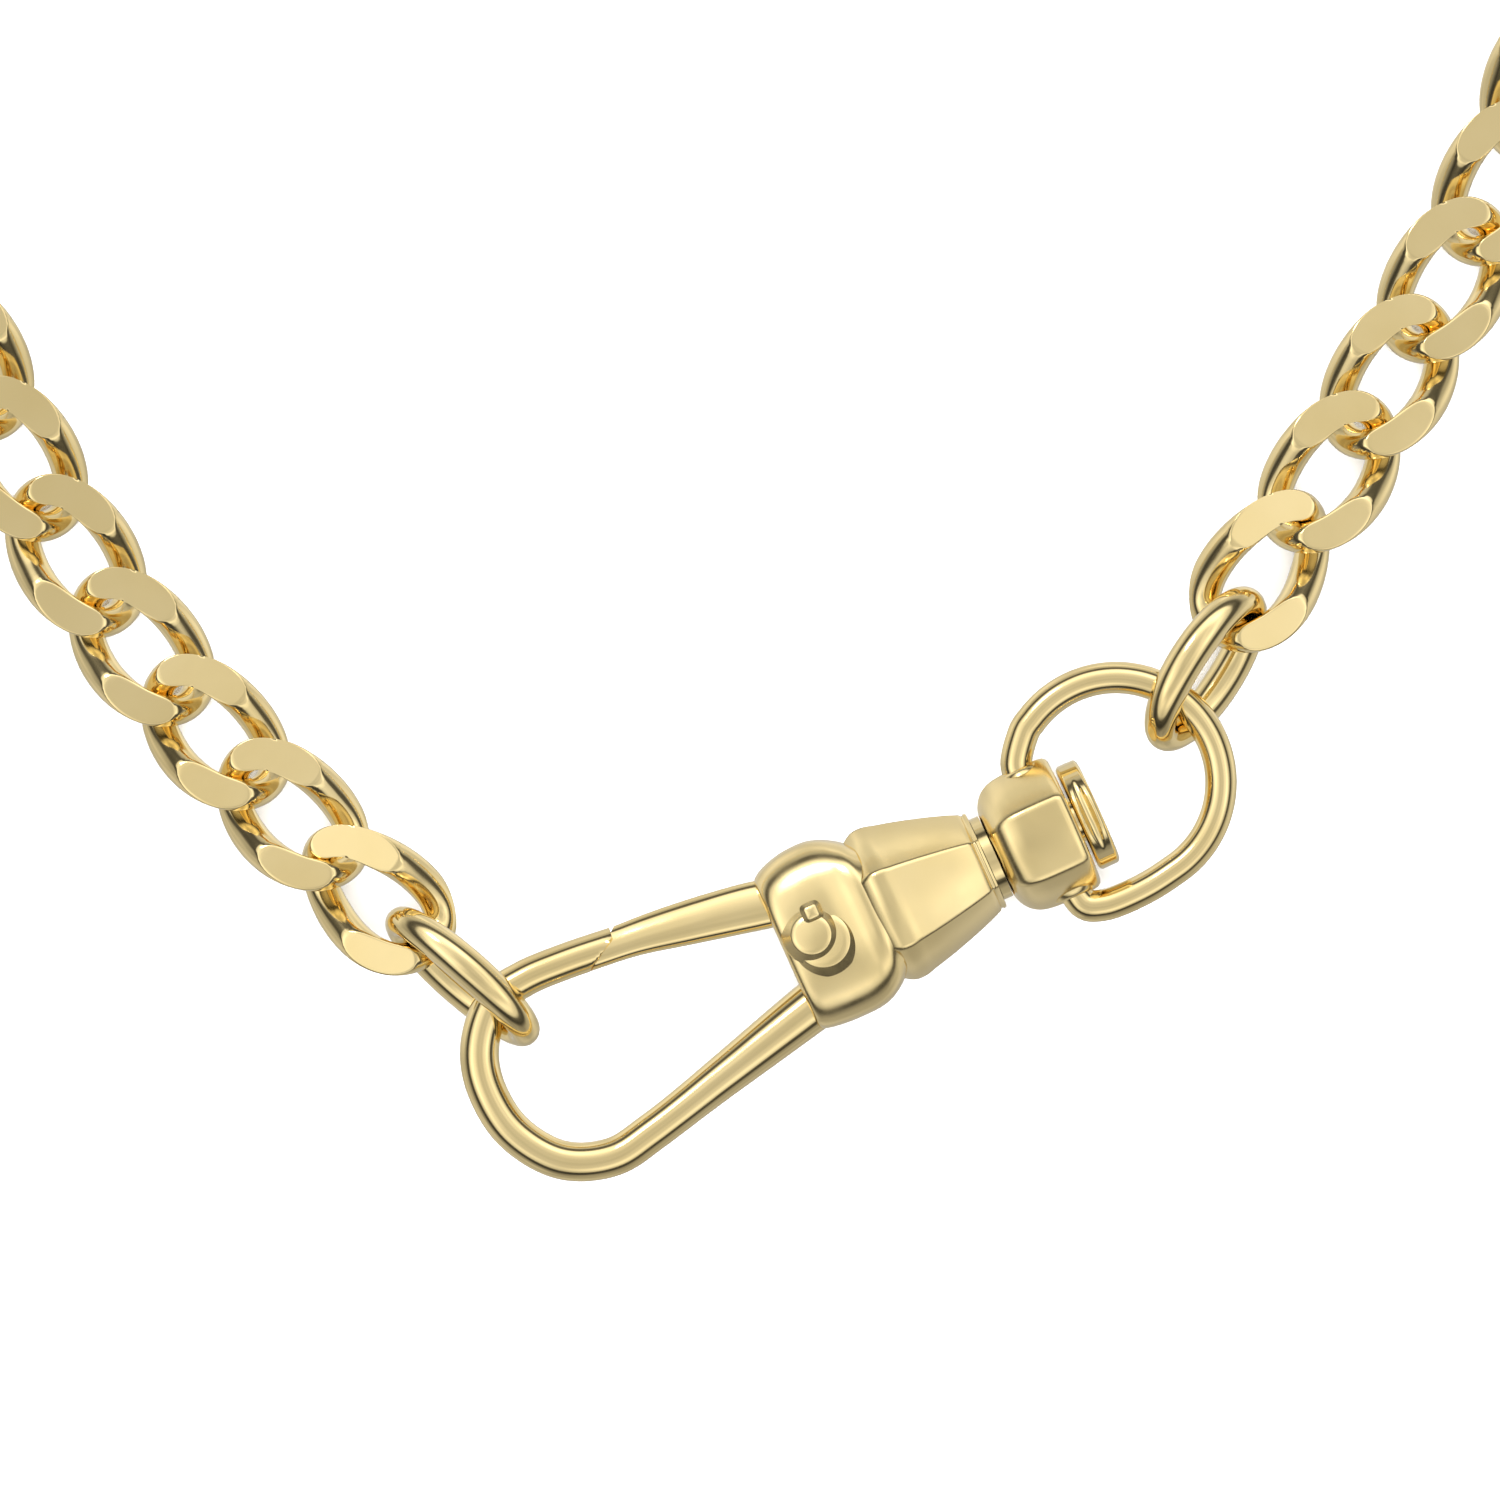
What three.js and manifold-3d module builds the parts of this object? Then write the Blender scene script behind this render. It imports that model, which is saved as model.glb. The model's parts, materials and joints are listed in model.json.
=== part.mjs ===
// Pocket watch chain: two runs of flat-ground curb links, joined by a spring-gate swivel clasp.
// One run ends in the clasp's hook, the other in the round bow that swivels on the clasp's post.
// Millimetres, +Z up. The chain lies on a table as a closed loop, seen in plan along -Z. The
// origin is under the middle of the loop, on the table.
//
// The clasp is modelled in its own axes: +X along its axis from the hook to the bow, +Y across
// towards the gate, and the middle of its thickness at Z = 0. A link is modelled with its length
// along X and its width along Y.

import * as THREE from 'three'
import { mergeVertices } from 'three/addons/utils/BufferGeometryUtils.js'
import Module from 'manifold-3d'

const wasm = await Module()
wasm.setup()

// ---------------------------------------------------------------- driving dimensions, mm and degrees

const CLASP_TILT = 24.2 // the clasp's axis from +X, in plan
const AXIS_HEIGHT = 2.86 // the clasp's axis above the table

const LINK_WIRE = 1.22 // thickness of the wire at a link's two ends
const LINK_SWELL = 0.12 // how much thicker the wire is at a link's sides, as a share
const LINK_LENGTH = 7.12 // outside length of a curb link
const LINK_WIDTH = 4.95 // outside width of every link
const LINK_RISE = 0.825 // how far the wire's middle rises and falls, as the link is twisted
const LINK_THICKNESS = 1.9 // between the two ground faces
const LINK_PLAY = 0.14 // free length between neighbouring links
const END_LINK_LENGTH = 7.8 // outside length of the plain link in the hook
const RING_LINK_LENGTH = 7.5 // outside length of the plain link on the bow
const LINKS_PER_SIDE = 24 // the plain end link and 23 curb links
const WIRE_STEPS = 16 // round a link
const WIRE_SIDES = 6

const HOOK_WIRE = 1.5
const HOOK_PLAY = 0.32 // from the hook's wire to the end link that hangs in it
const ARM_ROOT = 2 // thickness of the hook's arm where it leaves the hood
const ARM_FROM = [0.2, -2.3] // the arm thins from here
const ARM_TO = [-8.2, -4.35] // to here, where it is plain wire
const NOSE_CUT = [-7.6, 3.03] // middle of the slanting joint between the hook's nose and the gate
const NOSE_CUT_ANGLE = 35.3
const NOSE_GAP = 0.2

const HOOD_START = -0.9 // the hood's mouth, along the axis
const HOOD_END = 2.45
const HOOD_HALF = 2.1 // half the hood's thickness
const BOSS_AT = [0.65, 0.2]
const BOSS_RADIUS = 1.5
const BOSS_RISE = 0.25
const SLOT_WIDTH = 1.9 // between the hood's two cheeks
const SLOT_FLOOR = -1.65
const SLOT_ROOF = 3.1
const SLOT_BACK = 2.2 // the slot's end, along the axis; its mouth is open towards the nose
const SLOT_MOUTH = -1.5
const SPIGOT_RADIUS = 1.6
const SPIGOT_LENGTH = 1.85
const SPIGOT_ROOT = 0.2 // how far the spigot is let into the hood

const PIN_AT = [0.8, 1.05] // the gate's pin, across the hood
const PIN_RADIUS = 0.35
const PIN_HEAD_RADIUS = 0.62
const PIN_HEAD_RISE = 0.22
const PIN_CLEARANCE = 0.15
const GATE_HUB_RADIUS = 0.95
const GATE_THICKNESS = 1.2
const GATE_TIP = [-0.95, 1.0] // the tip's two corners, along the slanting joint
const SPRING_THICKNESS = 0.25
const SPRING_WIDTH = 0.9
const SPRING_BEND = [0.8, -0.95]
const SPRING_TIP = [-0.4, -0.4] // just under the gate's root

const CONE_START = 2.75
const CONE_END = 7.95
const CONE_BIG_RADIUS = 3.28 // to the corners of the six-sided cone
const CONE_SMALL_RADIUS = 2.02
const CONE_ROUNDING = [0.35, 0.3] // of the wide end, along the axis and across it
const CONE_CHAMFER = [0.3, 0.25] // of the narrow end
const FIT = 0.3 // radial clearance of the post and the spigot

const POST_RADIUS = 0.95
const POST_START = 5.3
const HEAD_RADIUS = 2.2
const HEAD_THICKNESS = 0.8
const HEAD_CHAMFER = [0.2, 0.35]

const BARREL_START = 8.38
const BARREL_LENGTH = 3.42
const BARREL_RADIUS = 2.83 // to the corners of the six-sided barrel
const BARREL_SHOULDER = [[0, 1.7], [0.25, 2.35], [0.75, BARREL_RADIUS]] // rounded, from its start
const BARREL_CHAMFER = [0.35, 0.3]
const EAR_RADIUS = 1.12
const EAR_REACH = 3.0 // the ears' outer faces, from the clasp's axis
const EAR_ROOT = 2 // how deep they are let into the barrel
const HEAD_GAP = 0.25

const BOW_WIRE = 1.26
const BOW_RADIUS = 4.2 // to the middle of the wire
const BOW_CENTRE = [13.95, 0.7]
const BOW_HINGE = 10.6 // the line through the bow's two ends, along the axis
const BOW_END_DEPTH = 2.15 // how near the axis the bow's ends reach
const BOW_FROM = 128 // the round part of the bow, as angles from its centre
const BOW_TO = -81
const BOW_RETURN = [[2.9, 0.62], [1.7, 0.66], [0.85, 0.56], [0.2, 0.2]] // its wire past the lower ear
const BOW_HOLE_CLEARANCE = 0.25
const BOW_PLAY = 0.3 // from the bow's wire to the ring link that hangs on it

const HOOK_CONTACT = [-12.35, 2.9] // where the end link hangs on the hook's wire
const HOOK_LEAVE = 141 // direction of the end link away from the hook, in plan
const BOW_CONTACT_ANGLE = 50 // where the ring link hangs on the bow, from the bow's centre
const BOW_LEAVE = 56
const END_ROLL = 75 // the end link stands nearly on edge
const RING_ROLL = 60
const NEXT_ROLL = 12
const LOOP_MIDDLE = [-5, 50] // middle of the loop's upper part, from the clasp
const LOOP_RADII = [40, 36] // its half width and half height, before it is fitted to the chain
const LOOP_FROM = 202 // the ends of the loop's upper part, as angles from its middle
const LOOP_TO = -8
const LEFT_LAY = [[-17.2, 1.65], [-23.9, 8.35], [-29.5, 15.7]] // how the left run leaves the hook
const RIGHT_LAY = [[29.9, 34.8], [23.6, 22.5], [18.6, 14.9]] // how the right run reaches the bow
const RAMP_LINKS = 5 // links over which the chain comes down to the table
const OPEN_GAP = 0.8 // between the two runs, at the pivot where the loop is opened

// ---------------------------------------------------------------- small helpers

const rad = THREE.MathUtils.degToRad
const at = (x, y, z = 0) => new THREE.Vector3(x, y, z)

// a closed mesh as a solid; faces that shrink to a line where points merge are left out
function toSolid(geometry) {
  const bare = geometry.clone()
  bare.deleteAttribute('normal')
  bare.deleteAttribute('uv')
  const merged = mergeVertices(bare, 1e-4)
  const corners = Array.from(merged.index.array)
  const faces = []
  for (let i = 0; i < corners.length; i += 3) {
    const face = corners.slice(i, i + 3)
    if (new Set(face).size === 3) faces.push(...face)
  }
  return new wasm.Manifold(new wasm.Mesh({
    numProp: 3,
    vertProperties: new Float32Array(merged.attributes.position.array),
    triVerts: new Uint32Array(faces),
  }))
}

function toGeometry(solid) {
  const mesh = solid.getMesh()
  const geometry = new THREE.BufferGeometry()
  geometry.setAttribute('position', new THREE.Float32BufferAttribute(mesh.vertProperties, 3))
  geometry.setIndex(Array.from(mesh.triVerts))
  geometry.computeVertexNormals()
  return geometry
}

function gold(roughness = 0.16) {
  return new THREE.MeshStandardMaterial({ color: 0xe0bd6c, roughness, metalness: 1 })
}

function steel() {
  return new THREE.MeshStandardMaterial({ color: 0xb9bcc0, roughness: 0.3, metalness: 1 })
}

function piece(name, geometry, material = gold()) {
  const mesh = new THREE.Mesh(geometry, material)
  mesh.name = name
  return mesh
}

// a cylinder along X, Y or Z between two coordinates, with its axis through (a, b)
function rod(axis, a, b, from, to, radius, sides = 16) {
  const geometry = new THREE.CylinderGeometry(radius, radius, to - from, sides)
  const middle = (from + to) / 2
  if (axis === 'x') return geometry.rotateZ(-Math.PI / 2).translate(middle, a, b)
  if (axis === 'y') return geometry.translate(a, middle, b)
  return geometry.rotateX(Math.PI / 2).translate(a, b, middle)
}

// a profile of [distance along the axis, radius] turned about the clasp's axis
function turned(profile, sides, start = 0) {
  const points = profile.map(([along, radius]) => new THREE.Vector2(radius, along))
  return new THREE.LatheGeometry(points, sides, start).rotateZ(-Math.PI / 2)
}

// a wire along a curve, with closed ends
function wire(curve, thickness, steps, sides = 8) {
  const corners = []
  for (let i = 0; i < sides; i++) {
    const angle = (2 * Math.PI * i) / sides
    corners.push(new THREE.Vector2(Math.cos(angle), Math.sin(angle)).multiplyScalar(thickness / 2))
  }
  const options = { steps, extrudePath: curve, bevelEnabled: false }
  return new THREE.ExtrudeGeometry(new THREE.Shape(corners), options)
}

// an outline in plan, with its thickness centred on Z = 0
function plate(outline, thickness) {
  const options = { depth: thickness, bevelEnabled: false, curveSegments: 6 }
  return new THREE.ExtrudeGeometry(outline, options).translate(0, 0, -thickness / 2)
}

// ---------------------------------------------------------------- clasp

// The hook's wire leaves the hood low down, rounds the end and comes back as the nose.
const hookCurve = new THREE.CatmullRomCurve3([
  at(0.2, -2.45),
  at(-1.6, -2.85),
  at(-5, -3.6),
  at(-8.6, -4.45),
  at(-10.7, -4.7),
  at(-12.5, -3.95),
  at(-13.75, -2.2),
  at(-14.05, -0.2),
  at(-13.6, 1.5),
  at(...HOOK_CONTACT),
  at(-10.9, 3.25),
  at(-9, 3.2),
  at(-6.6, 2.95),
])

function hoodOutline() {
  const outline = new THREE.Shape()
  outline.moveTo(HOOD_START, -3.5)
  outline.lineTo(HOOD_END, -3.55)
  outline.lineTo(HOOD_END, 3.35)
  outline.quadraticCurveTo(1.3, 3.95, 0, 3.5)
  outline.quadraticCurveTo(-0.7, 3.25, HOOD_START, 2.9)
  outline.closePath()
  return outline
}

// everything on the gate's side of the slanting joint, moved by a distance towards the gate
function gateSide(shift) {
  const block = new THREE.BoxGeometry(4, 3, 3).translate(0, -1.5 - shift, 0)
  return toSolid(block.rotateZ(rad(NOSE_CUT_ANGLE)).translate(NOSE_CUT[0], NOSE_CUT[1], 0))
}

// the arm's taper, from the hood to the plain wire
function armTaper() {
  const from = at(...ARM_FROM)
  const to = at(...ARM_TO)
  const along = to.clone().sub(from)
  const geometry = new THREE.CylinderGeometry(HOOK_WIRE / 2, ARM_ROOT / 2, along.length(), 12)
  geometry.rotateZ(Math.atan2(along.y, along.x) - Math.PI / 2)
  return geometry.translate(...from.add(to).multiplyScalar(0.5))
}

function hookBody() {
  const boss = rod('z', ...BOSS_AT, -HOOD_HALF - BOSS_RISE, HOOD_HALF + BOSS_RISE, BOSS_RADIUS)
  const spigotEnd = HOOD_END + SPIGOT_LENGTH
  const slot = new THREE.BoxGeometry(SLOT_BACK - SLOT_MOUTH, SLOT_ROOF - SLOT_FLOOR, SLOT_WIDTH)
  slot.translate((SLOT_BACK + SLOT_MOUTH) / 2, (SLOT_ROOF + SLOT_FLOOR) / 2, 0)
  const through = 2 * HOOD_HALF
  const solid = toSolid(plate(hoodOutline(), 2 * HOOD_HALF))
    .add(toSolid(boss))
    .add(toSolid(rod('x', 0, 0, HOOD_END - SPIGOT_ROOT, spigotEnd, SPIGOT_RADIUS)))
    .add(toSolid(wire(hookCurve, HOOK_WIRE, 30)))
    .add(toSolid(armTaper()))
    .subtract(toSolid(slot))
    .subtract(toSolid(rod('z', ...PIN_AT, -through, through, PIN_RADIUS + PIN_CLEARANCE)))
    .subtract(gateSide(0))
  return piece('hook_body', toGeometry(solid))
}

function gate() {
  const [pinX, pinY] = PIN_AT
  const slope = [Math.cos(rad(NOSE_CUT_ANGLE)), Math.sin(rad(NOSE_CUT_ANGLE))]
  const onCut = (along) => [
    NOSE_CUT[0] + along * slope[0] + NOSE_GAP * slope[1],
    NOSE_CUT[1] + along * slope[1] - NOSE_GAP * slope[0],
  ]
  const outline = new THREE.Shape()
  outline.moveTo(...onCut(GATE_TIP[0]))
  outline.lineTo(...onCut(GATE_TIP[1]))
  outline.lineTo(-5.2, 3.36)
  outline.lineTo(-1.1, 2.95)
  outline.absarc(pinX, pinY, GATE_HUB_RADIUS, rad(110), rad(-110), true)
  outline.lineTo(-1.3, 1.12)
  outline.lineTo(-4.2, 1.72)
  outline.closePath()
  const hole = rod('z', pinX, pinY, -1, 1, PIN_RADIUS + PIN_CLEARANCE)
  const solid = toSolid(plate(outline, GATE_THICKNESS)).subtract(toSolid(hole))
  return piece('gate', toGeometry(solid))
}

function gatePin() {
  const face = HOOD_HALF + BOSS_RISE + 0.05
  const top = face + PIN_HEAD_RISE
  const half = [
    new THREE.Vector2(PIN_RADIUS, face),
    new THREE.Vector2(PIN_HEAD_RADIUS, face),
    new THREE.Vector2(PIN_HEAD_RADIUS * 0.7, top),
    new THREE.Vector2(0, top),
  ]
  const other = half.map((point) => new THREE.Vector2(point.x, -point.y)).reverse()
  const geometry = new THREE.LatheGeometry([...other, ...half], 12)
  return piece('gate_pin', geometry.rotateX(Math.PI / 2).translate(...PIN_AT, 0))
}

// a leaf bent up under the gate's root, held at the back of the slot
function gateSpring() {
  const back = SLOT_BACK - FIT
  const floor = SLOT_FLOOR + FIT
  const [bendX, bendY] = SPRING_BEND
  const [tipX, tipY] = SPRING_TIP
  const outline = new THREE.Shape()
  outline.moveTo(back, floor)
  outline.lineTo(back, floor + SPRING_THICKNESS)
  outline.quadraticCurveTo(bendX, bendY, tipX, tipY)
  outline.lineTo(tipX, tipY - SPRING_THICKNESS)
  outline.quadraticCurveTo(bendX, bendY - SPRING_THICKNESS, back, floor)
  return piece('gate_spring', plate(outline, SPRING_WIDTH), steel())
}

function coneFerrule() {
  const flat = Math.cos(Math.PI / 6)
  const spigotBore = (SPIGOT_RADIUS + FIT) / flat
  const postBore = (POST_RADIUS + FIT) / flat
  const step = HOOD_END + SPIGOT_LENGTH + FIT
  const [roundAlong, roundAcross] = CONE_ROUNDING
  const [cutAlong, cutAcross] = CONE_CHAMFER
  const profile = [
    [CONE_START, spigotBore],
    [CONE_START, CONE_BIG_RADIUS - roundAcross],
    [CONE_START + roundAlong, CONE_BIG_RADIUS],
    [CONE_END - cutAlong, CONE_SMALL_RADIUS],
    [CONE_END, CONE_SMALL_RADIUS - cutAcross],
    [CONE_END, postBore],
    [step, postBore],
    [step, spigotBore],
    [CONE_START, spigotBore],
  ]
  return piece('cone_ferrule', turned(profile, 6, Math.PI / 6))
}

function swivelPost() {
  const seat = BARREL_START + BARREL_LENGTH + HEAD_GAP
  const top = seat + HEAD_THICKNESS
  const [cutAlong, cutAcross] = HEAD_CHAMFER
  const profile = [
    [POST_START, 0],
    [POST_START, POST_RADIUS],
    [seat, POST_RADIUS],
    [seat, HEAD_RADIUS],
    [top - cutAlong, HEAD_RADIUS],
    [top, HEAD_RADIUS - cutAcross],
    [top, 0],
  ]
  return piece('swivel_post', turned(profile, 16))
}

function swivelBarrel() {
  const end = BARREL_START + BARREL_LENGTH
  const bore = (POST_RADIUS + FIT) / Math.cos(Math.PI / 6)
  const [cutAlong, cutAcross] = BARREL_CHAMFER
  const profile = [
    [BARREL_START, bore],
    ...BARREL_SHOULDER.map(([along, radius]) => [BARREL_START + along, radius]),
    [end - cutAlong, BARREL_RADIUS],
    [end, BARREL_RADIUS - cutAcross],
    [end, bore],
    [BARREL_START, bore],
  ]
  const hole = BOW_WIRE / 2 + BOW_HOLE_CLEARANCE
  const holeBottom = BOW_END_DEPTH - BOW_HOLE_CLEARANCE
  let solid = toSolid(turned(profile, 6, Math.PI / 6))
  for (const side of [-1, 1]) {
    const ear = [side * EAR_ROOT, side * EAR_REACH].sort((a, b) => a - b)
    const bored = [side * holeBottom, side * (EAR_REACH + 1)].sort((a, b) => a - b)
    solid = solid.add(toSolid(rod('y', BOW_HINGE, 0, ...ear, EAR_RADIUS)))
    solid = solid.subtract(toSolid(rod('y', BOW_HINGE, 0, ...bored, hole, 12)))
  }
  return piece('swivel_barrel', toGeometry(solid))
}

// a round wire bow: most of a circle, with both ends turned in towards the barrel
function bowCurve() {
  const [middleX, middleY] = BOW_CENTRE
  const points = [at(BOW_HINGE, BOW_END_DEPTH), at(BOW_HINGE, EAR_REACH)]
  for (let angle = BOW_FROM; angle >= BOW_TO; angle -= 19) {
    const along = middleX + BOW_RADIUS * Math.cos(rad(angle))
    points.push(at(along, middleY + BOW_RADIUS * Math.sin(rad(angle))))
  }
  for (const [along, beyond] of BOW_RETURN) {
    points.push(at(BOW_HINGE + along, -EAR_REACH - beyond))
  }
  points.push(at(BOW_HINGE, -BOW_END_DEPTH))
  return new THREE.CatmullRomCurve3(points)
}

function bowRing() {
  return piece('bow_ring', wire(bowCurve(), BOW_WIRE, 40))
}

// ---------------------------------------------------------------- chain

// The middle of a link's wire: an ellipse in plan that rises and falls twice in a turn.
class LinkCurve extends THREE.Curve {
  constructor(length, rise) {
    super()
    this.halfLength = (length - LINK_WIRE) / 2
    this.halfWidth = (LINK_WIDTH - LINK_WIRE) / 2
    this.rise = rise
  }

  getPoint(t, target = new THREE.Vector3()) {
    const x = this.halfLength * Math.cos(2 * Math.PI * t)
    const y = this.halfWidth * Math.sin(2 * Math.PI * t)
    return target.set(x, y, this.rise * Math.sin(4 * Math.PI * t))
  }
}

// a closed wire link; what stands above the ground faces is brought down to them
function linkGeometry(length, rise, mirrored) {
  const curve = new LinkCurve(length, rise)
  const geometry = new THREE.TubeGeometry(curve, WIRE_STEPS, LINK_WIRE / 2, WIRE_SIDES, true)
  if (mirrored) {
    geometry.scale(1, -1, 1)
    geometry.index.array.reverse()
  }
  const points = geometry.attributes.position
  const ground = LINK_THICKNESS / 2
  for (let i = 0; i < points.count; i++) {
    const turn = Math.floor(i / (WIRE_SIDES + 1)) / WIRE_STEPS
    const middle = curve.getPoint(turn)
    if (mirrored) middle.y = -middle.y
    const point = at(0, 0).fromBufferAttribute(points, i)
    const swell = 1 + LINK_SWELL * Math.sin(2 * Math.PI * turn) ** 2
    point.sub(middle).multiplyScalar(swell).add(middle)
    point.z = THREE.MathUtils.clamp(point.z, -ground, ground)
    points.setXYZ(i, ...point)
  }
  return geometry
}

const curbPitch = LINK_LENGTH - 2 * LINK_WIRE - LINK_PLAY
const endPitch = (endLength) => (endLength + LINK_LENGTH) / 2 - 2 * LINK_WIRE - LINK_PLAY

const claspTurn = new THREE.Matrix4().makeRotationZ(rad(CLASP_TILT))
const inPlan = (x, y) => at(x, y).applyMatrix4(claspTurn)
const towards = (degrees) => at(Math.cos(rad(degrees)), Math.sin(rad(degrees)))

// the middle of an end link that hangs from a wire at a contact point
function hangFrom(contact, wireThickness, play, direction, length) {
  const inside = (length - LINK_WIRE) / 2 - (LINK_WIRE + wireThickness) / 2 - play
  return contact.clone().addScaledVector(towards(direction), inside)
}

const hookContact = inPlan(...HOOK_CONTACT)
const hookEnd = hangFrom(hookContact, HOOK_WIRE, HOOK_PLAY, HOOK_LEAVE, END_LINK_LENGTH)
const bowContact = inPlan(...BOW_CENTRE).addScaledVector(towards(BOW_CONTACT_ANGLE), BOW_RADIUS)
const bowEnd = hangFrom(bowContact, BOW_WIRE, BOW_PLAY, BOW_LEAVE, RING_LINK_LENGTH)

// The loop's route in plan, from the hook round to the bow. Its upper part is most of an
// ellipse, whose size is the only thing that spread changes.
function route(spread) {
  const [acrossLoop, alongLoop] = LOOP_RADII
  const [middleX, middleY] = LOOP_MIDDLE
  const upper = []
  for (let angle = LOOP_FROM; angle >= LOOP_TO; angle -= 15) {
    const x = middleX + spread * acrossLoop * Math.cos(rad(angle))
    upper.push(at(x, middleY + spread * alongLoop * Math.sin(rad(angle))))
  }
  const left = LEFT_LAY.map(([x, y]) => at(x, y))
  const right = RIGHT_LAY.map(([x, y]) => at(x, y))
  return new THREE.CatmullRomCurve3([hookEnd, ...left, ...upper, ...right, bowEnd])
}

// middle of the end link to middle of the last curb link
const runLength = (endLength) => endPitch(endLength) + (LINKS_PER_SIDE - 2) * curbPitch
const bothRuns = runLength(END_LINK_LENGTH) + runLength(RING_LINK_LENGTH)
const loopLength = bothRuns + LINK_LENGTH + OPEN_GAP

function fittedRoute() {
  let narrow = 0.3
  let wide = 3
  for (let i = 0; i < 40; i++) {
    const middle = (narrow + wide) / 2
    if (route(middle).getLength() < loopLength) narrow = middle
    else wide = middle
  }
  const curve = route(wide)
  curve.arcLengthDivisions = 2000
  return curve
}

// how high the chain's middle lies at a distance along a run: it comes down from the clasp's
// axis to rest flat on the table
function heightAt(distance) {
  const floor = LINK_THICKNESS / 2
  const share = Math.min(1, Math.max(0, distance) / (RAMP_LINKS * curbPitch))
  return floor + (AXIS_HEIGHT - floor) * 0.5 * (1 + Math.cos(Math.PI * share))
}

// one run of links, laid along the route from its clasp end; side is 1 from the hook and -1
// from the bow, and the twist of the links is mirrored between the two
function run(curve, side, name, end) {
  const total = curve.getLength()
  const links = []
  for (let i = 0; i < LINKS_PER_SIDE; i++) {
    const distance = i === 0 ? 0 : endPitch(end.length) + (i - 1) * curbPitch
    const share = side > 0 ? distance / total : 1 - distance / total
    const spot = curve.getPointAt(share)
    const tangent = curve.getTangentAt(share).multiplyScalar(side)
    const label = i === 0 ? end.name : `${name}_${String(i).padStart(2, '0')}`
    const length = i === 0 ? end.length : LINK_LENGTH
    const near = heightAt(distance - length / 2)
    const far = heightAt(distance + length / 2)
    const link = piece(label, linkGeometry(length, i === 0 ? 0 : -LINK_RISE, side < 0))
    const roll = [end.roll, Math.sign(end.roll) * NEXT_ROLL][i] ?? 0
    const pitch = Math.atan((near - far) / length)
    link.position.set(spot.x, spot.y, (near + far) / 2)
    link.rotation.set(rad(roll), pitch, Math.atan2(tangent.y, tangent.x), 'ZYX')
    links.push(link)
  }
  return links
}

// ---------------------------------------------------------------- assembly

const clasp = new THREE.Group()
clasp.position.set(0, 0, AXIS_HEIGHT)
clasp.rotation.z = rad(CLASP_TILT)
clasp.add(hookBody(), gate(), gatePin(), gateSpring(), coneFerrule())
clasp.add(swivelPost(), swivelBarrel(), bowRing())

const loop = fittedRoute()
const group = new THREE.Group()
group.add(clasp)
const endLink = { name: 'end_link', length: END_LINK_LENGTH, roll: -END_ROLL }
const ringLink = { name: 'ring_link', length: RING_LINK_LENGTH, roll: RING_ROLL }
group.add(...run(loop, 1, 'left_link', endLink))
group.add(...run(loop, -1, 'right_link', ringLink))

// the origin goes under the middle of the whole loop, at table height
group.updateMatrixWorld(true)
const bounds = new THREE.Box3().setFromObject(group, true)
const middle = bounds.getCenter(new THREE.Vector3())
group.position.set(-middle.x, -middle.y, -bounds.min.z)

export default group
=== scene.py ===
"""Pocket watch chain: polished gold curb links, a spring-gate swivel clasp and its round wire bow.

Every finished piece is a surface worked out from a formula. A piece of the clasp is shaped in the
clasp's own axes: u along it from the hook to the bow, v across it towards the gate, w up. A link is
shaped in its own axes: x along it away from the clasp, y across it, z up. Sizes are in millimetres
until a piece is put in its place, where they become metres.
"""

import json
import math

import bpy
import numpy as np
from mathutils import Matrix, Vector


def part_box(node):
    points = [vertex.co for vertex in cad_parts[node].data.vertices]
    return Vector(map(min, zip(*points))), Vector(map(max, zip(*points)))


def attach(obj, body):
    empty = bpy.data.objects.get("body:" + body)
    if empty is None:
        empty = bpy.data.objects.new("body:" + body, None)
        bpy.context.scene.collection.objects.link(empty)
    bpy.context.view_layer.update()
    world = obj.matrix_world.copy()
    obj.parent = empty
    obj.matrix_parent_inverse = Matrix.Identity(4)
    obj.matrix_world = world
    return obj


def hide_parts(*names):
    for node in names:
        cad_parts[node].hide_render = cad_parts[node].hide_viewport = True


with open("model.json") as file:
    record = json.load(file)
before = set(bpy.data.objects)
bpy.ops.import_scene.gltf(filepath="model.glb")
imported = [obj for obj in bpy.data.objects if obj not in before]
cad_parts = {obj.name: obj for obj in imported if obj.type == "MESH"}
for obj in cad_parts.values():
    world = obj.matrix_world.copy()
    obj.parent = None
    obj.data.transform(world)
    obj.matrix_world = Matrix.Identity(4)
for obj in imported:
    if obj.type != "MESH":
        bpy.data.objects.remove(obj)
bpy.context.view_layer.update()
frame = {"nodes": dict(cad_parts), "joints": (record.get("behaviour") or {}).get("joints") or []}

MM = 0.001
TAU = 2 * math.pi

# ---------------------------------------------------------------- sizes, mm

LINK_WIRE = 1.24  # at a link's ends
LINK_SWELL = 0.2  # how much thicker the wire is at a link's sides, as a share
LINK_WIDTH = 4.95
LINK_TWIST = 0.345  # rise of the wire per square millimetre of length times width
LINK_LEAN = 0.085  # rise of a link's far end, which lies on its neighbour, per length
LINK_HALF_THICKNESS = 0.92  # the ground faces, from the link's middle
CURB_LENGTH = 7.12
END_LENGTH = 7.8
RING_LENGTH = 7.5
LINKS_PER_SIDE = 24

BOW_MIDDLE = (13.95, 0.7)
BOW_RADIUS = 4.2
BOW_WIRE = 1.28
BOW_HINGE = 10.6  # the line that the bow turns on, along the clasp's axis
PIN_AT = (0.72, 1.0)  # the square rivet head
PIN_ROD_AT = (0.8, 1.05)
BOSS_AT = (0.66, -0.18)
DOME_AT = (0.34, 0.2)
NOSE_CUT = (-7.5, 2.95)  # a point on the slanted cut that ends the hook's nose
NOSE_SLANT = math.radians(35.3)
FACETS = 6
FACET_TURN = math.radians(5)  # turn of the cone's and barrel's corners about the axis
CLASP_CREASE = 50  # degrees, above which an edge is left sharp

# ---------------------------------------------------------------- the studio, m

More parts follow.
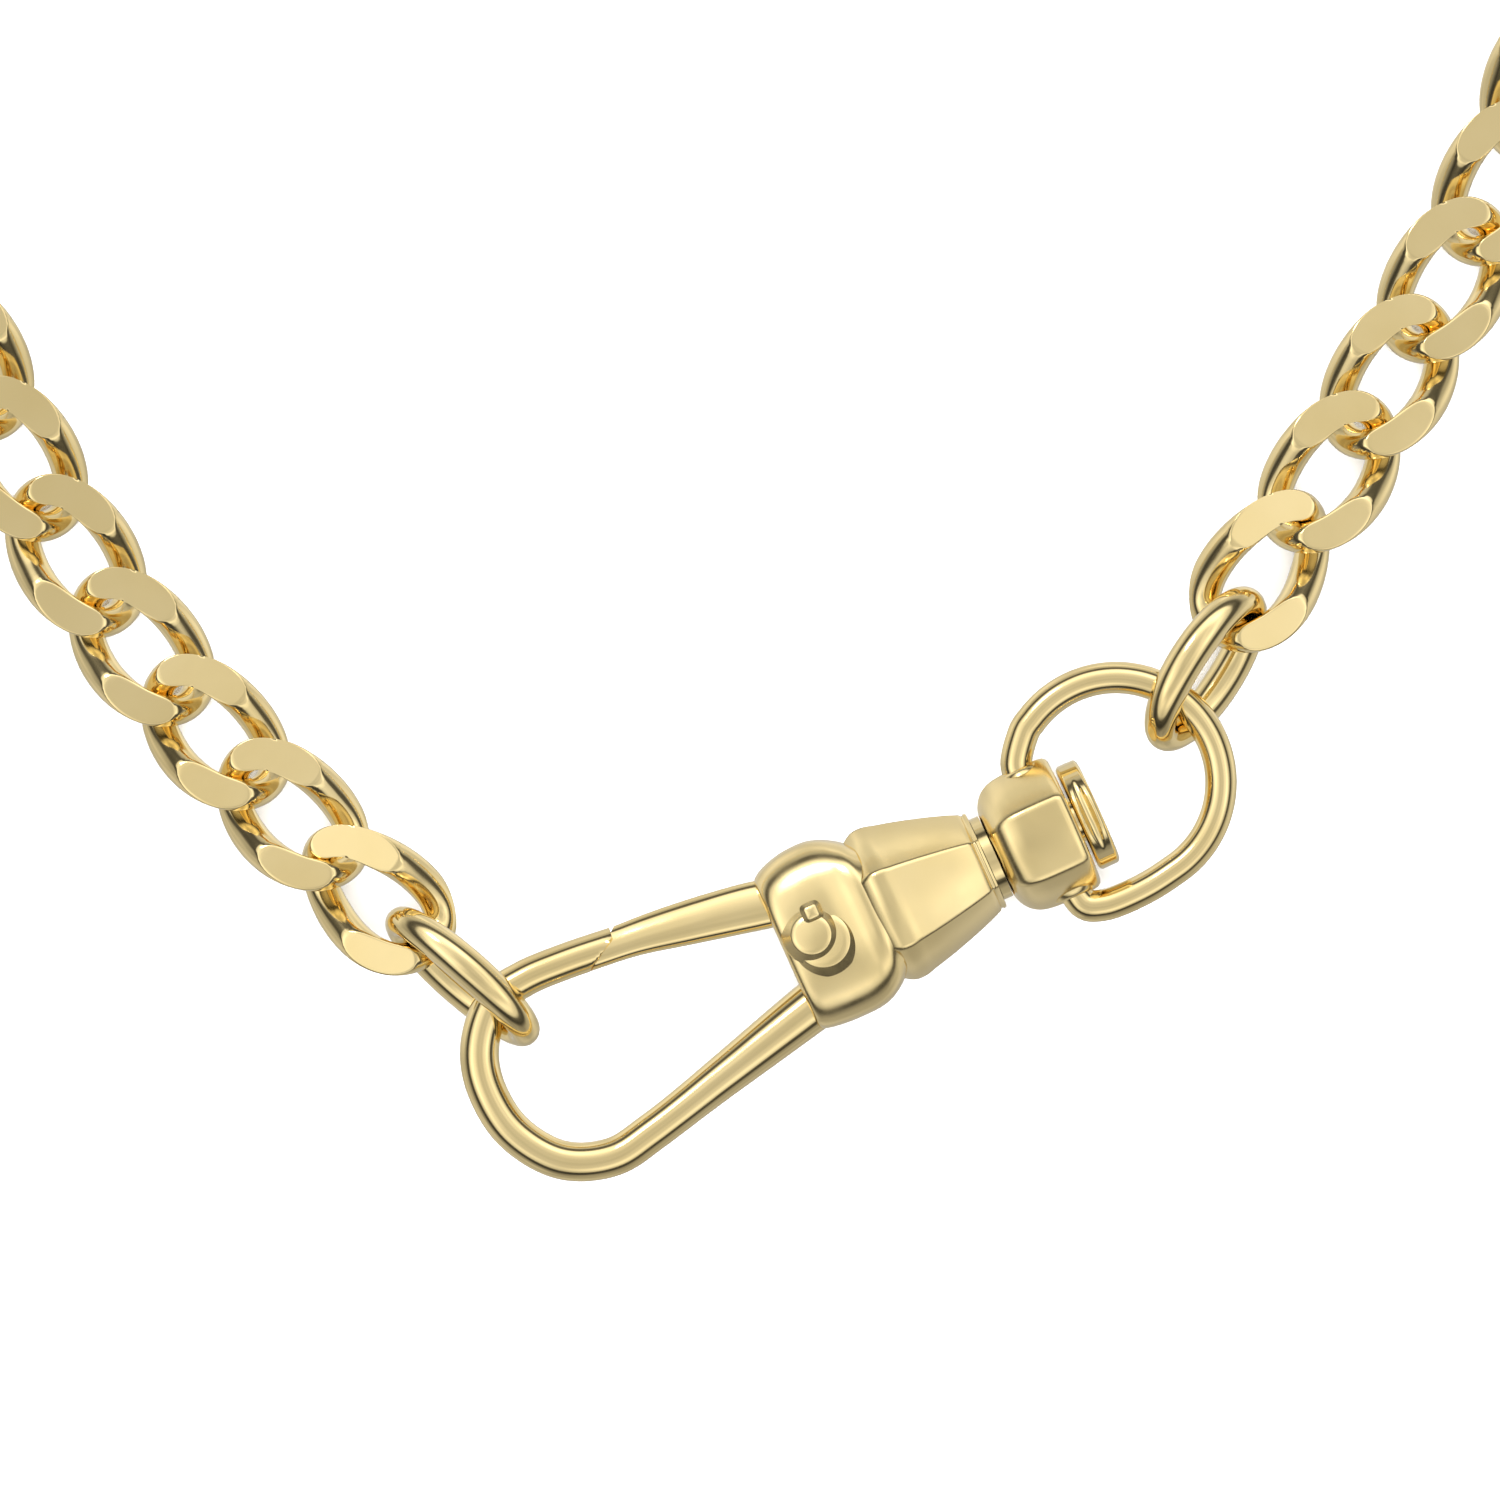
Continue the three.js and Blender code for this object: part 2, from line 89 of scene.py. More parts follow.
FIELD = 0.060  # width of the view at the table
LENS = 300
SENSOR = 36
VIEW_SHIFT = (-0.002204, 0.007656, 0)  # from the clasp's origin to the middle of the view


# ---------------------------------------------------------------- numbers and curves

def unit(rows):
    """Each row divided by its own length."""
    return rows / np.maximum(np.linalg.norm(rows, axis=-1, keepdims=True), 1e-12)


def smooth_curve(points, count):
    """A Catmull-Rom curve through the points, sampled at equal steps of its length.

    Between two points b and c, with a before and d after, it is half of 2b + (c - a)s +
    (2a - 5b + 4c - d)s^2 + (3b - a - 3c + d)s^3, with s from 0 to 1. The first and last points
    are mirrored to make the missing neighbours."""
    steps = 40
    points = np.asarray(points, float)
    padded = np.vstack([2 * points[0] - points[1], points, 2 * points[-1] - points[-2]])
    spans = len(padded) - 3
    along = np.linspace(0, spans, spans * steps + 1)
    i = np.minimum(along.astype(int), spans - 1)
    s = (along - i)[:, None]
    a, b, c, d = padded[i], padded[i + 1], padded[i + 2], padded[i + 3]
    fine = 0.5 * (2 * b + (c - a) * s + (2 * a - 5 * b + 4 * c - d) * s**2
                  + (3 * b - a - 3 * c + d) * s**3)
    length = np.concatenate([[0], np.cumsum(np.linalg.norm(np.diff(fine, axis=0), axis=1))])
    stops = np.linspace(0, length[-1], count)
    return np.stack([np.interp(stops, length, fine[:, k]) for k in range(fine.shape[1])], axis=1)


def smooth_step(value, low, high):
    """0 below low, 1 above high, and an S curve between them."""
    share = np.clip((value - low) / (high - low), 0, 1)
    return share * share * (3 - 2 * share)


def soft_limit(value, limit, softness):
    """The value kept between -limit and +limit, with its corner rounded over the softness.

    Each side takes away the softness times the logarithm of 1 + exp(overshoot / softness)."""
    over = softness * np.logaddexp(0, (value - limit) / softness)
    under = softness * np.logaddexp(0, (-limit - value) / softness)
    return value - over + under


# ---------------------------------------------------------------- places, from the frame

def joint_of(child):
    """The joint whose child body has this name."""
    return next(joint for joint in frame["joints"] if joint["child"] == child)


def clasp_place():
    """The clasp's axes in the row frame, as columns u, v, w, and its origin, in mm.

    The barrel turns about the clasp's axis and the bow about a line across it, and the bow's line
    crosses the axis at a known distance from the origin."""
    u = unit(np.array(joint_of("barrel")["axis"], float))
    w = np.array([0.0, 0.0, 1.0])
    v = unit(np.cross(w, u))
    hinge = np.array(joint_of("bow")["pos_m"], float) / MM
    return np.stack([u, v, w], axis=1), hinge - BOW_HINGE * u


def node_points(node):
    """The points of a CAD node's mesh, in mm."""
    mesh = frame["nodes"][node].data
    points = np.empty(len(mesh.vertices) * 3)
    mesh.vertices.foreach_get("co", points)
    return points.reshape(-1, 3) / MM


def link_place(node, away):
    """A link's axes in the row frame, as columns x, y, z, and its middle, in mm.

    The axes are the principal directions of its CAD shape: the longest is x, pointed away from
    the clasp, and the shortest is z, pointed up."""
    low, high = (np.array(corner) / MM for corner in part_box(node))
    points = node_points(node)
    axes = np.linalg.eigh(np.cov((points - points.mean(axis=0)).T))[1]
    x, z = axes[:, 2], axes[:, 0]
    x = x * np.sign(x @ away)
    z = z * np.sign(z[2])
    return np.stack([x, np.cross(z, x), z], axis=1), (low + high) / 2


CLASP_AXES, CLASP_MIDDLE = clasp_place()


# ---------------------------------------------------------------- meshes

def make_piece(name, points, faces, place, body, finish, crease=None, replaces=()):
    """A piece from its points in mm in its own axes, moved to its place in the row frame."""
    axes, middle = place
    mesh = bpy.data.meshes.new(name)
    mesh.from_pydata(((points @ axes.T + middle) * MM).tolist(), [], faces)
    mesh.polygons.foreach_set("use_smooth", [True] * len(mesh.polygons))
    if crease:
        mesh.set_sharp_from_angle(angle=math.radians(crease))
    mesh.materials.append(finish)
    mesh.update()
    piece = bpy.data.objects.new(name, mesh)
    bpy.context.scene.collection.objects.link(piece)
    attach(piece, body)
    if replaces:
        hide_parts(*replaces)
    return piece


def skin(grid, wrap_rows=False):
    """Points and faces of a surface given as rows of points, each row a closed section.

    With wrap_rows the last row joins the first, and otherwise each end is closed by a flat face."""
    rows, columns = grid.shape[:2]
    index = np.arange(rows * columns).reshape(rows, columns)
    right = np.roll(index, -1, axis=1)
    if wrap_rows:
        lower, upper = index, np.roll(index, -1, axis=0)
        lower_right, upper_right = right, np.roll(right, -1, axis=0)
    else:
        lower, upper, lower_right, upper_right = index[:-1], index[1:], right[:-1], right[1:]
    quads = np.stack([lower, lower_right, upper_right, upper], axis=-1).reshape(-1, 4)
    faces = quads.tolist()
    if not wrap_rows:
        faces.append(index[0][::-1].tolist())
        faces.append(index[-1].tolist())
    return grid.reshape(-1, 3), faces


def join(*parts):
    """Several (points, faces) as one."""
    points, faces, start = [], [], 0
    for some_points, some_faces in parts:
        points.append(some_points)
        faces.extend([[i + start for i in face] for face in some_faces])
        start += len(some_points)
    return np.vstack(points), faces


def rounded_section(sides, power):
    """The cosine and sine of a superellipse: power 2 is a circle and more is boxier.

    Each is the circle's value with its size raised to 2 over the power, and its sign kept."""
    angle = TAU * np.arange(sides) / sides
    cos, sin = np.cos(angle), np.sin(angle)
    return (np.sign(cos) * np.abs(cos) ** (2 / power), np.sign(sin) * np.abs(sin) ** (2 / power))


def sweep(centre, wide, tall, sides, power=2.0):
    """Sections carried along a curve that lies level.

    A section is a superellipse square to the curve: wide is its half size in the level, and
    tall is its half size upwards."""
    normal = np.array([0.0, 0.0, 1.0])
    along = unit(np.gradient(centre, axis=0))
    side = unit(np.cross(np.broadcast_to(normal, along.shape), along))
    cos, sin = rounded_section(sides, power)
    wide = np.broadcast_to(wide, len(centre))[:, None, None]
    tall = np.broadcast_to(tall, len(centre))[:, None, None]
    return (centre[:, None, :] + wide * cos[None, :, None] * side[:, None, :]
            + tall * sin[None, :, None] * normal[None, None, :])


def turned(profile, sides=64, spin=0.0, facets=0, sharpness=0.0):
    """A profile of [u, radius] turned about the clasp's axis.

    With facets the section is a rounded polygon: a radius shrinks from its corner value by the
    polygon's own radius, and sharpness 1 is the true polygon while 0 is a circle."""
    profile = np.asarray(profile, float)
    angle = TAU * np.arange(sides) / sides
    radius = np.ones(sides)
    if facets:
        sector = TAU / facets
        offset = (angle - spin + sector / 2) % sector - sector / 2
        polygon = math.cos(sector / 2) / np.cos(sector / 2 - np.abs(offset))
        radius = 1 + sharpness * (polygon - 1)
    grid = np.empty((len(profile), sides, 3))
    grid[:, :, 0] = profile[:, :1]
    grid[:, :, 1] = profile[:, 1:] * radius * np.cos(angle)
    grid[:, :, 2] = profile[:, 1:] * radius * np.sin(angle)
    return grid


# ---------------------------------------------------------------- finishes

def cloud(nodes, links, place, scale, detail):
    """A cloudy noise from 0 to 1 over the place."""
    noise = nodes.new("ShaderNodeTexNoise")
    noise.inputs["Scale"].default_value = scale
    noise.inputs["Detail"].default_value = detail
    links.new(place, noise.inputs["Vector"])
    return noise.outputs["Fac"]


def spread(nodes, links, value, from_range, to_range):
    """A value moved in proportion from one range to another, and kept inside it."""
    change = nodes.new("ShaderNodeMapRange")
    change.inputs["From Min"].default_value, change.inputs["From Max"].default_value = from_range
    change.inputs["To Min"].default_value, change.inputs["To Max"].default_value = to_range
    links.new(value, change.inputs["Value"])
    return change.outputs["Result"]


def new_metal(name):
    """A new metal material: its nodes, links, shader and the place on the piece."""
    material = bpy.data.materials.new(name)
    material.use_nodes = True
    nodes, links = material.node_tree.nodes, material.node_tree.links
    shader = nodes["Principled BSDF"]
    shader.inputs["Metallic"].default_value = 1.0
    place = nodes.new("ShaderNodeTexCoord").outputs["Object"]
    return material, nodes, links, shader, place


def polished_gold(name, roughness, ripple_scale, relief, tint=(0.95, 0.765, 0.395)):
    """Pale yellow gold: a metal whose colour and gloss vary a little, with a faint ripple.

    One cloud picks a colour between the tint and a darker, redder tint. A finer cloud moves the
    roughness between three quarters and 1.3 times its value. A third is the bump's height."""
    material, nodes, links, shader, place = new_metal(name)

    tone = cloud(nodes, links, place, 260, 2)
    colours = nodes.new("ShaderNodeValToRGB")
    darker, plain = colours.color_ramp.elements
    darker.position, plain.position = 0.3, 0.7
    darker.color = (tint[0] * 0.95, tint[1] * 0.93, tint[2] * 0.86, 1)
    plain.color = (*tint, 1)
    links.new(tone, colours.inputs["Fac"])
    links.new(colours.outputs["Color"], shader.inputs["Base Color"])

    wear = cloud(nodes, links, place, 900, 4)
    gloss = spread(nodes, links, wear, (0.3, 0.7), (roughness * 0.75, roughness * 1.3))
    links.new(gloss, shader.inputs["Roughness"])

    ripple = cloud(nodes, links, place, ripple_scale, 3)
    bump = nodes.new("ShaderNodeBump")
    bump.inputs["Strength"].default_value = relief
    bump.inputs["Distance"].default_value = 0.0002
    links.new(ripple, bump.inputs["Height"])
    links.new(bump.outputs["Normal"], shader.inputs["Normal"])
    return material


def spring_steel():
    """Satin steel for the leaf spring inside the hood: a fine cloud varies its roughness."""
    material, nodes, links, shader, place = new_metal("spring_steel")
    shader.inputs["Base Color"].default_value = (0.55, 0.56, 0.58, 1)
    grain = cloud(nodes, links, place, 3000, 2)
    gloss = spread(nodes, links, grain, (0, 1), (0.22, 0.4))
    links.new(gloss, shader.inputs["Roughness"])
    return material


GOLD = polished_gold("polished_gold", roughness=0.1, ripple_scale=520, relief=0.03)
CAST_GOLD = polished_gold("cast_gold", roughness=0.2, ripple_scale=260, relief=0.06)
STEEL = spring_steel()


# ---------------------------------------------------------------- links

def curb_shape(length, twist, lean, rings=112, top=10, side=10):
    """A closed wire link: points and faces.

    The wire's middle is an ellipse in plan. It rises and falls as twist times x times y, and the
    whole link leans up towards its far end. Its round section stands square to the wire, and
    swells with the square of the sine of the angle round the link. Where the wire stands above a
    ground face it is cut off there. Each section keeps a fixed share of its points on the cut,
    so that the cut's edge runs along the grid: top points on each ground side and side points
    between them."""
    least_cut = math.radians(16)  # half angle of a section's flat where the wire stays uncut
    edge = math.radians(2.5)  # from the flat's last point to the next one
    softness = 0.008  # rounding of the cut's edge
    width_share = 0.6  # of the swelling, taken off so that the link keeps its width

    half_length = (length - LINK_WIRE) / 2
    half_width = (LINK_WIDTH - LINK_WIRE * (1 + width_share * LINK_SWELL)) / 2
    t = TAU * np.arange(rings) / rings
    x, y = half_length * np.cos(t), half_width * np.sin(t)
    centre = np.stack([x, y, twist * x * y + lean * x], axis=1)
    dx, dy = -half_length * np.sin(t), half_width * np.cos(t)
    along = unit(np.stack([dx, dy, twist * (dx * y + x * dy) + lean * dx], axis=1))
    side_way = unit(np.cross(np.array([0, 0, 1.0])[None], along))
    up = np.cross(along, side_way)
    radius = LINK_WIRE / 2 * (1 + LINK_SWELL * np.sin(t) ** 2)

    def cut_half_angle(height):
        """The section's half angle inside the cut: the arc cosine of room over radius."""
        reach = np.clip((LINK_HALF_THICKNESS - height) / (radius * up[:, 2]), -1, 1)
        return np.maximum(np.arccos(reach), least_cut)

    above, below = cut_half_angle(centre[:, 2]), cut_half_angle(-centre[:, 2])
    quarter = math.pi / 2
    stretches = []
    for middle, half, next_half in ((quarter, above, below), (3 * quarter, below, above)):
        inner = np.linspace(-1, 1, top)[None] * (half - edge)[:, None] + middle
        begin, finish = middle + half + edge, middle + 2 * quarter - next_half - edge
        share = np.linspace(0, 1, side)[None]
        outer = begin[:, None] * (1 - share) + finish[:, None] * share
        stretches += [inner, outer]
    angle = np.concatenate(stretches, axis=1)[:, :, None]
    grid = centre[:, None, :] + radius[:, None, None] * (
        np.cos(angle) * side_way[:, None, :] + np.sin(angle) * up[:, None, :])
    grid[:, :, 2] = soft_limit(grid[:, :, 2], LINK_HALF_THICKNESS, softness)
    return skin(grid, wrap_rows=True)


def lay_links(names, twist, first_length, near):
    """One run of links, each in place of its CAD node and riding on the body of the same name.

    The first is plain, with no twist or lean. near is a point on the clasp's side of it."""
    middles = [(np.array(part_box(n)[0]) + np.array(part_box(n)[1])) / 2 / MM for n in names]
    for i, name in enumerate(names):
        before = middles[i - 1] if i else near
        after = middles[min(i + 1, len(names) - 1)]
        place = link_place(name, after - before)
        if i == 0:
            points, faces = curb_shape(first_length, 0.0, 0.0)
        else:
            points, faces = curb_shape(CURB_LENGTH, twist, LINK_LEAN)
        make_piece(f"{name}_wire", points, faces, place, name, GOLD, replaces=[name])


def numbered(side):
    """The names of one side's curb links, from the clasp outwards."""
    return [f"{side}_link_{i:02d}" for i in range(1, LINKS_PER_SIDE)]


# ---------------------------------------------------------------- clasp

def hook_wire():
    """The hook's wire: a tapered round section along its curve, with a slanted nose end.

    The curve leaves the hood low down, rounds the end and comes back as the nose. What lies
    beyond the slanted cut is pushed back square onto it."""
    centre = smooth_curve([
        (0.6, -2.15, 0), (-1.6, -2.68, 0), (-5, -3.53, 0), (-8.6, -4.42, 0), (-10.6, -4.7, 0),
        (-12.5, -3.95, 0), (-13.75, -2.2, 0), (-14.05, -0.2, 0), (-13.6, 1.5, 0),
        (-12.35, 2.9, 0), (-10.9, 3.25, 0), (-9, 3.2, 0), (-7.0, 3.0, 0),
    ], 150)
    share = np.linspace(0, 1, len(centre))
    root, arm_taper, nose_taper, flatness = 1.05, 0.26, 0.06, 0.97
    radius = (root - arm_taper * smooth_step(share, 0.0, 0.34)
              - nose_taper * smooth_step(share, 0.7, 0.9))
    grid = sweep(centre, radius, radius * flatness, 40, power=2.05)
    slope = (math.cos(NOSE_SLANT), math.sin(NOSE_SLANT))
    beyond = ((grid[:, :, 0] - NOSE_CUT[0]) * slope[1]
              - (grid[:, :, 1] - NOSE_CUT[1]) * slope[0])
    on_nose = (share > 0.8)[:, None]
    push = np.maximum(beyond, 0) * on_nose
    grid[:, :, 0] -= push * slope[1]
    grid[:, :, 1] += push * slope[0]
    return skin(grid)


def hood():
    """The hood: rounded-box sections along the axis, from its mouth to inside the cone.

    Each station gives the section's upper edge, lower edge and half thickness. A stepped boss
    stands on each cheek: a flat disc, a smaller dome on it and a small square rivet head."""
    stations = np.array([
        [-0.93, 2.7, -3.1, 1.6], [-0.9, 2.95, -3.3, 1.82], [-0.78, 3.15, -3.45, 2.0],
        [-0.4, 3.38, -3.58, 2.14], [0.3, 3.6, -3.66, 2.22], [1.0, 3.68, -3.68, 2.27],
        [1.6, 3.66, -3.66, 2.32], [2.1, 3.52, -3.56, 2.43], [2.5, 3.32, -3.38, 2.56],
        [2.9, 3.06, -3.1, 2.62], [3.3, 2.7, -2.7, 2.5],
    ])
    stations = smooth_curve(stations, 60)
    cos, sin = rounded_section(80, 3.0)
    top, bottom, half = stations[:, 1:2], stations[:, 2:3], stations[:, 3:4]
    grid = np.empty((len(stations), len(cos), 3))
    grid[:, :, 0] = stations[:, :1]
    grid[:, :, 1] = (top + bottom) / 2 + (top - bottom) / 2 * cos
    grid[:, :, 2] = half * sin
    parts = [skin(grid)]
    for side in (1, -1):
        parts.append(stud(BOSS_AT, 1.5, 1.2, 2.4, side, power=2.0, bevel=0.42, lean=0.2))
        parts.append(stud(DOME_AT, 1.2, 1.5, 2.6, side, power=2.0, bevel=0.42, lean=0.15))
        parts.append(stud(PIN_AT, 0.42, 2.1, 2.7, side, power=4.0, bevel=0.16, lean=0.0))
    return join(*parts)


def stud(middle, radius, low, high, side, power, bevel, lean):
    """A round or square stud on a cheek, with a bevelled edge and a slightly domed top.

    Rings of the same section, from the wall at the low height, over the bevel, to the middle of
    the top. It leans, so that its edge towards the gate sinks into the cheek and the far edge
    stands proud: a point's height changes by lean times its distance from the middle that way."""
    inner = radius - bevel
    flat = high - 0.06
    radii = np.array([radius, radius, radius - 0.12 * bevel, inner + 0.12 * bevel, inner,
                      inner * 0.75, inner * 0.5, inner * 0.25, inner * 0.03])
    heights = np.array([low, flat - 0.95 * bevel, flat - 0.85 * bevel, flat - 0.1 * bevel, flat,
                        high - 0.03, high - 0.015, high - 0.004, high])
    cos, sin = rounded_section(56, power)
    grid = np.empty((len(radii), len(cos), 3))
    away = radii[:, None] * (0.5 * cos - 0.86 * sin)
    grid[:, :, 0] = middle[0] + radii[:, None] * cos
    grid[:, :, 1] = middle[1] + radii[:, None] * sin
    grid[:, :, 2] = side * (heights[:, None] + lean * away)
    return skin(grid if side > 0 else grid[:, ::-1])


def gate_tongue():
    """The gate: a wedge from its root in the hood to its slanted tip.

    Its lower and upper edges follow the outline in plan. Its section is a rounded box whose
    upper flank is bevelled, so that a soft ridge runs along the gate."""
    u = np.linspace(0, 1, 60)
    top = smooth_curve([(-6.72, 3.7, 0), (-5.2, 3.62, 0), (-3.2, 3.42, 0), (-1.1, 3.1, 0),
                        (0.3, 2.7, 0)], 60)
    low = smooth_curve([(-8.28, 2.42, 0), (-6.3, 2.2, 0), (-4.2, 1.74, 0), (-1.3, 1.1, 0),
                        (0.3, 0.8, 0)], 60)
    cos, sin = rounded_section(56, 3.2)
    middle, reach = (top + low) / 2, (top - low) / 2
    tall = 0.6 + 0.16 * smooth_step(u, 0, 0.6)
    grid = middle[:, None, :] + reach[:, None, :] * cos[None, :, None]
    bevel = 1 - 0.32 * np.clip((cos + 0.1) / 1.1, 0, 1)
    grid[:, :, 2] = tall[:, None] * (sin * bevel)[None]
    return skin(grid)


def cone():
    """The six-sided cone: it swells out of the hood, narrows, and ends in a thin rim.

    Its profile is turned as a rounded polygon and made a little flatter."""
    outside = smooth_curve([[2.2, 2.2], [2.5, 2.5], [2.8, 2.8], [3.15, 3.08], [3.5, 3.24],
                            [3.95, 3.24], [4.4, 3.12]], 30)
    narrow = [[4.9, 3.0], [5.5, 2.84], [6.1, 2.66], [6.7, 2.47], [7.2, 2.29], [7.5, 2.17],
              [7.66, 2.1], [7.72, 2.02], [7.78, 2.02],
              [7.84, 2.07], [7.93, 2.03], [7.95, 1.9], [7.95, 1.3], [7.2, 1.3]]
    grid = turned(np.vstack([outside, narrow]), sides=144, spin=FACET_TURN, facets=FACETS,
                  sharpness=0.64)
    flatness = 0.945
    grid[:, :, 2] *= flatness
    return skin(grid)


def barrel():
    """The six-sided swivel barrel: a rounded shoulder, soft facets and a chamfered rim."""
    shoulder = smooth_curve([[8.36, 1.25], [8.38, 1.75], [8.5, 2.15], [8.75, 2.5], [9.1, 2.74],
                             [9.55, 2.86], [10.1, 2.9]], 26)
    rim = [[10.9, 2.9], [11.4, 2.88], [11.62, 2.84], [11.74, 2.74], [11.8, 2.6], [11.8, 1.25],
           [11.4, 1.25]]
    grid = turned(np.vstack([shoulder, rim]), sides=120, spin=FACET_TURN, facets=FACETS,
                  sharpness=0.62)
    return skin(grid)


def post():
    """The swivel post: a shoulder before the barrel, a plain neck through it and a round head.

    A lens-shaped hollow is pressed in the head's edge, above and below: its depth falls from the
    middle as 1 - (across / half width)^2 - (along / half length)^2."""
    neck = [[5.3, 0.95], [7.96, 0.95], [7.96, 1.75], [8.34, 1.75], [8.34, 0.95], [11.92, 0.95],
            [11.92, 2.02], [11.94, 2.12], [12.0, 2.2]]
    edge = [[u, 2.24] for u in np.linspace(12.06, 12.72, 22)]
    face = [[12.78, 2.2], [12.84, 2.1], [12.86, 1.95], [12.86, 1.4], [12.72, 1.0], [12.68, 0.2]]
    grid = turned(neck + edge + face, sides=120)
    half_width, middle, half_length, depth = 1.5, 12.38, 0.26, 0.2
    hollow = (1 - (grid[:, :, 1] / half_width) ** 2
              - ((grid[:, :, 0] - middle) / half_length) ** 2)
    on_edge = np.abs(grid[:, :, 2]) > 1.0
    grid[:, :, 2] -= depth * np.sign(grid[:, :, 2]) * np.maximum(hollow, 0) * on_edge
    return skin(grid)


def ear(side):
    """A short socket on the barrel's side, which a bow end turns in."""
    heights = np.array([1.9, 2.45, 2.68, 2.78, 2.78, 2.5])
    radii = np.array([1.05, 0.98, 0.92, 0.82, 0.7, 0.68])
    cos, sin = rounded_section(40, 2.0)
    grid = np.empty((len(heights), len(cos), 3))
    grid[:, :, 0] = BOW_HINGE + radii[:, None] * cos
    grid[:, :, 1] = side * heights[:, None]
    grid[:, :, 2] = radii[:, None] * sin
    return skin(grid[:, ::-1] if side > 0 else grid)


def bow_centre():
    """The middle of the bow's wire: most of a circle, with both ends turned in to the ears."""
    angle = np.radians(np.arange(128, -82, -9.5))
    ring = np.stack([BOW_MIDDLE[0] + BOW_RADIUS * np.cos(angle),
                     BOW_MIDDLE[1] + BOW_RADIUS * np.sin(angle), 0 * angle], axis=1)
    upper = [(BOW_HINGE, 2.15, 0), (BOW_HINGE, 3.0, 0)]
    lower = [(BOW_HINGE + 2.9, -3.62, 0), (BOW_HINGE + 1.7, -3.66, 0),
             (BOW_HINGE + 0.85, -3.56, 0), (BOW_HINGE + 0.2, -3.2, 0), (BOW_HINGE, -2.15, 0)]
    return smooth_curve(np.vstack([upper, ring, lower]), 180)


def bow():
    """The bow: a round section along its wire."""
    return skin(sweep(bow_centre(), BOW_WIRE / 2, BOW_WIRE / 2, 32))


def pin():
    """The gate's pin: a plain rod across the hood, under the rivet heads.

    Four rings of one radius, with the end rings a little smaller."""
    heights = np.array([-2.3, -2.25, 2.25, 2.3])
    radii = np.array([0.3, 0.35, 0.35, 0.3])
    cos, sin = rounded_section(32, 2.0)
    grid = np.empty((len(heights), len(cos), 3))
    grid[:, :, 0] = PIN_ROD_AT[0] + radii[:, None] * cos
    grid[:, :, 1] = PIN_ROD_AT[1] + radii[:, None] * sin
    grid[:, :, 2] = heights[:, None]
    return skin(grid)


def place_clasp():
    """The clasp's pieces, each in place of its CAD node, and steel for the spring."""
    place = (CLASP_AXES, CLASP_MIDDLE)
    pieces = [
        ("hook_wire", hook_wire(), "clasp", GOLD, ["hook_body"]),
        ("hood_shell", hood(), "clasp", CAST_GOLD, []),
        ("gate_tongue", gate_tongue(), "gate", GOLD, ["gate"]),
        ("cone_shell", cone(), "clasp", CAST_GOLD, ["cone_ferrule"]),
        ("post_and_head", post(), "clasp", GOLD, ["swivel_post"]),
        ("hinge_pin", pin(), "clasp", GOLD, ["gate_pin"]),
        ("barrel_shell", join(barrel(), ear(1), ear(-1)), "barrel", CAST_GOLD, ["swivel_barrel"]),
        ("bow_wire", bow(), "bow", GOLD, ["bow_ring"]),
    ]
    for name, shape, body, finish, replaces in pieces:
        make_piece(name, *shape, place, body, finish, crease=CLASP_CREASE, replaces=replaces)
    spring = frame["nodes"]["gate_spring"].data
    spring.materials.clear()
    spring.materials.append(STEEL)


# ---------------------------------------------------------------- studio

def paper_floor():
    """A plain pale sheet under the chain."""
    mesh = bpy.data.meshes.new("paper_floor")
    reach = 0.6
    corners = [(-reach, -reach, 0), (reach, -reach, 0), (reach, reach, 0), (-reach, reach, 0)]
    mesh.from_pydata(corners, [], [(0, 1, 2, 3)])
    material = bpy.data.materials.new("white_paper")
    material.use_nodes = True
    shader = material.node_tree.nodes["Principled BSDF"]
    shader.inputs["Base Color"].default_value = (0.93, 0.93, 0.93, 1)
    shader.inputs["Roughness"].default_value = 0.9
    shader.inputs["Specular IOR Level"].default_value = 0.1
    mesh.materials.append(material)
    floor = bpy.data.objects.new("paper_floor", mesh)
    bpy.context.scene.collection.objects.link(floor)
    floor.visible_glossy = False


def soft_light(name, place, size, power, in_reflections=True):
    """A square soft box at a place in metres, aimed at the clasp."""
    light = bpy.data.lights.new(name, "AREA")
    light.shape = "SQUARE"
    light.size = size
    light.energy = power
    lamp = bpy.data.objects.new(name, light)
    bpy.context.scene.collection.objects.link(lamp)
    lamp.location = place
    aim = Vector(CLASP_MIDDLE * MM) - Vector(place)
    lamp.rotation_euler = aim.to_track_quat("-Z", "Y").to_euler()
    lamp.visible_glossy = in_reflections


